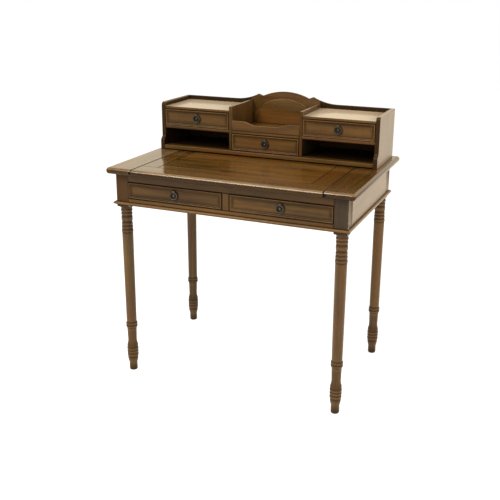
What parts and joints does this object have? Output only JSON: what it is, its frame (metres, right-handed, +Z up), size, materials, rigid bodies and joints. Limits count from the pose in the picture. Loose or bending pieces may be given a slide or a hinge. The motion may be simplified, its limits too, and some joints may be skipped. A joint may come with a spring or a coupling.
{
  "type": "writing desk",
  "caption": "Small writing desk on turned legs with frieze drawers, a pull-out writing top and a gallery of little drawers, pigeonholes and an open tray.",
  "frame": {"origin": "on the floor, under the middle of the desk's overall box", "axes": "+Z up, -Y towards the person who sits at the desk, +X to the right seen from the front"},
  "size_m": [0.864, 0.603, 0.9697],
  "materials": {
    "walnut": "dark stained, satin lacquer",
    "drawer_lining": "plain, unpolished",
    "antique_bronze": "darkened, worn on the high places"
  },
  "bodies": {
    "carcass": {"leg_front_left": "walnut", "leg_front_right": "walnut", "leg_back_left": "walnut", "leg_back_right": "walnut", "apron_side_left": "walnut", "apron_side_right": "walnut", "apron_back": "walnut", "front_top_rail": "walnut", "front_bottom_rail": "walnut", "front_centre_stile": "walnut", "base_moulding_front": "walnut", "base_moulding_back": "walnut", "base_moulding_left": "walnut", "base_moulding_right": "walnut", "drawer_runner_left": "walnut", "drawer_runner_centre": "walnut", "drawer_runner_right": "walnut", "centre_bearer": "walnut", "top_end_board_left": "walnut", "top_end_board_right": "walnut", "top_back_rail": "walnut", "gallery_end_left": "walnut", "gallery_end_right": "walnut", "gallery_divider_left": "walnut", "gallery_divider_right": "walnut", "gallery_base": "walnut", "gallery_back": "walnut", "gallery_arch_panel": "walnut", "gallery_top_left": "walnut", "gallery_top_right": "walnut", "gallery_shelf_left": "walnut", "gallery_shelf_right": "walnut", "gallery_tray_floor": "walnut", "gallery_tray_lip": "walnut"},
    "writing_slide": {"slide_front_rail": "walnut", "slide_stile_left": "walnut", "slide_stile_right": "walnut", "slide_back_rail": "walnut", "slide_panel": "walnut"},
    "desk_drawer_left": {"desk_drawer_left_front": "walnut", "desk_drawer_left_box": "drawer_lining", "desk_drawer_left_pull_plate": "antique_bronze"},
    "desk_drawer_right": {"desk_drawer_right_front": "walnut", "desk_drawer_right_box": "drawer_lining", "desk_drawer_right_pull_plate": "antique_bronze"},
    "gallery_drawer_left": {"gallery_drawer_left_front": "walnut", "gallery_drawer_left_box": "drawer_lining", "gallery_drawer_left_pull_plate": "antique_bronze"},
    "gallery_drawer_centre": {"gallery_drawer_centre_front": "walnut", "gallery_drawer_centre_box": "drawer_lining", "gallery_drawer_centre_pull_plate": "antique_bronze"},
    "gallery_drawer_right": {"gallery_drawer_right_front": "walnut", "gallery_drawer_right_box": "drawer_lining", "gallery_drawer_right_pull_plate": "antique_bronze"},
    "desk_ring_left": {"desk_drawer_left_pull_ring": "antique_bronze"},
    "desk_ring_right": {"desk_drawer_right_pull_ring": "antique_bronze"},
    "gallery_ring_left": {"gallery_drawer_left_pull_ring": "antique_bronze"},
    "gallery_ring_centre": {"gallery_drawer_centre_pull_ring": "antique_bronze"},
    "gallery_ring_right": {"gallery_drawer_right_pull_ring": "antique_bronze"}
  },
  "joints": [
    {"name": "writing_slide_pull", "type": "slide", "parent": "carcass", "child": "writing_slide", "axis": [0, -1, 0], "range_m": [0, 0.15]},
    {"name": "desk_drawer_left_pull", "type": "slide", "parent": "carcass", "child": "desk_drawer_left", "axis": [0, -1, 0], "range_m": [0, 0.3]},
    {"name": "desk_drawer_right_pull", "type": "slide", "parent": "carcass", "child": "desk_drawer_right", "axis": [0, -1, 0], "range_m": [0, 0.3]},
    {"name": "gallery_drawer_left_pull", "type": "slide", "parent": "carcass", "child": "gallery_drawer_left", "axis": [0, -1, 0], "range_m": [0, 0.12]},
    {"name": "gallery_drawer_centre_pull", "type": "slide", "parent": "carcass", "child": "gallery_drawer_centre", "axis": [0, -1, 0], "range_m": [0, 0.12]},
    {"name": "gallery_drawer_right_pull", "type": "slide", "parent": "carcass", "child": "gallery_drawer_right", "axis": [0, -1, 0], "range_m": [0, 0.12]},
    {"name": "desk_ring_left_swing", "type": "hinge", "parent": "desk_drawer_left", "child": "desk_ring_left", "pos_m": [-0.187, -0.2745, 0.69875], "axis": [-1, 0, 0], "range_deg": [0, 90]},
    {"name": "desk_ring_right_swing", "type": "hinge", "parent": "desk_drawer_right", "child": "desk_ring_right", "pos_m": [0.187, -0.2745, 0.69875], "axis": [-1, 0, 0], "range_deg": [0, 90]},
    {"name": "gallery_ring_left_swing", "type": "hinge", "parent": "gallery_drawer_left", "child": "gallery_ring_left", "pos_m": [-0.267, 0.0553, 0.89625], "axis": [-1, 0, 0], "range_deg": [0, 90]},
    {"name": "gallery_ring_centre_swing", "type": "hinge", "parent": "gallery_drawer_centre", "child": "gallery_ring_centre", "pos_m": [0, 0.0553, 0.825], "axis": [-1, 0, 0], "range_deg": [0, 90]},
    {"name": "gallery_ring_right_swing", "type": "hinge", "parent": "gallery_drawer_right", "child": "gallery_ring_right", "pos_m": [0.267, 0.0553, 0.89625], "axis": [-1, 0, 0], "range_deg": [0, 90]}
  ]
}
